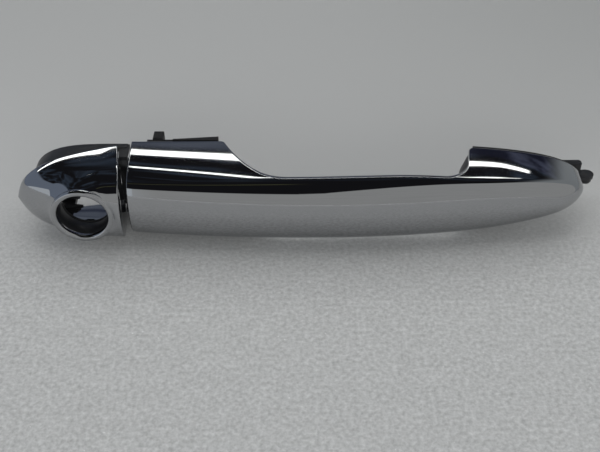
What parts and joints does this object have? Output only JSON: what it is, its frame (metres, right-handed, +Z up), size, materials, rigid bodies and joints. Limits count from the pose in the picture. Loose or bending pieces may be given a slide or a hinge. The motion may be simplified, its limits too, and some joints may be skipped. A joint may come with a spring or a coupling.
{
  "type": "car door handle",
  "caption": "Outside pull handle for a right-hand car door: a plated grip on a front pivot with a rear latch arm, and a plated lock cap with an open keyhole.",
  "frame": {"origin": "on the lock axis, in the plane of the keyhole's rim", "axes": "+X along the car to the hinge end of the handle, +Y into the door, +Z up, for a right-hand door"},
  "size_m": [0.2373, 0.0578, 0.0308],
  "materials": {
    "plated_trim": "bright plated plastic",
    "black_plastic": "moulded, fine satin",
    "seal_rubber": "matte",
    "foam": "closed-cell foam",
    "screw_steel": "zinc plated",
    "insert_brass": "turned"
  },
  "bodies": {
    "door_side": {"key_cap_cover": "plated_trim", "key_cap_base": "black_plastic", "lock_collar": "black_plastic", "collar_seal": "seal_rubber", "key_cap_insert": "insert_brass", "key_cap_screws": "screw_steel", "key_cap_gasket": "seal_rubber", "front_gasket": "seal_rubber", "rear_gasket": "seal_rubber"},
    "grip": {"grip_cover": "plated_trim", "grip_back": "black_plastic", "grip_core": "black_plastic", "hinge_arm": "black_plastic", "hinge_arm_screws": "screw_steel", "hinge_pad": "seal_rubber", "latch_arm": "black_plastic", "latch_arm_screws": "screw_steel", "latch_buffer": "seal_rubber", "grip_screws": "screw_steel", "cover_pads": "foam"}
  },
  "joints": [
    {"name": "grip_pull", "type": "hinge", "parent": "door_side", "child": "grip", "pos_m": [0.2063, 0.0345, -0.006], "axis": [0, 0, 1], "range_deg": [0, 6], "stiffness_Nm_per_rad": 2}
  ]
}
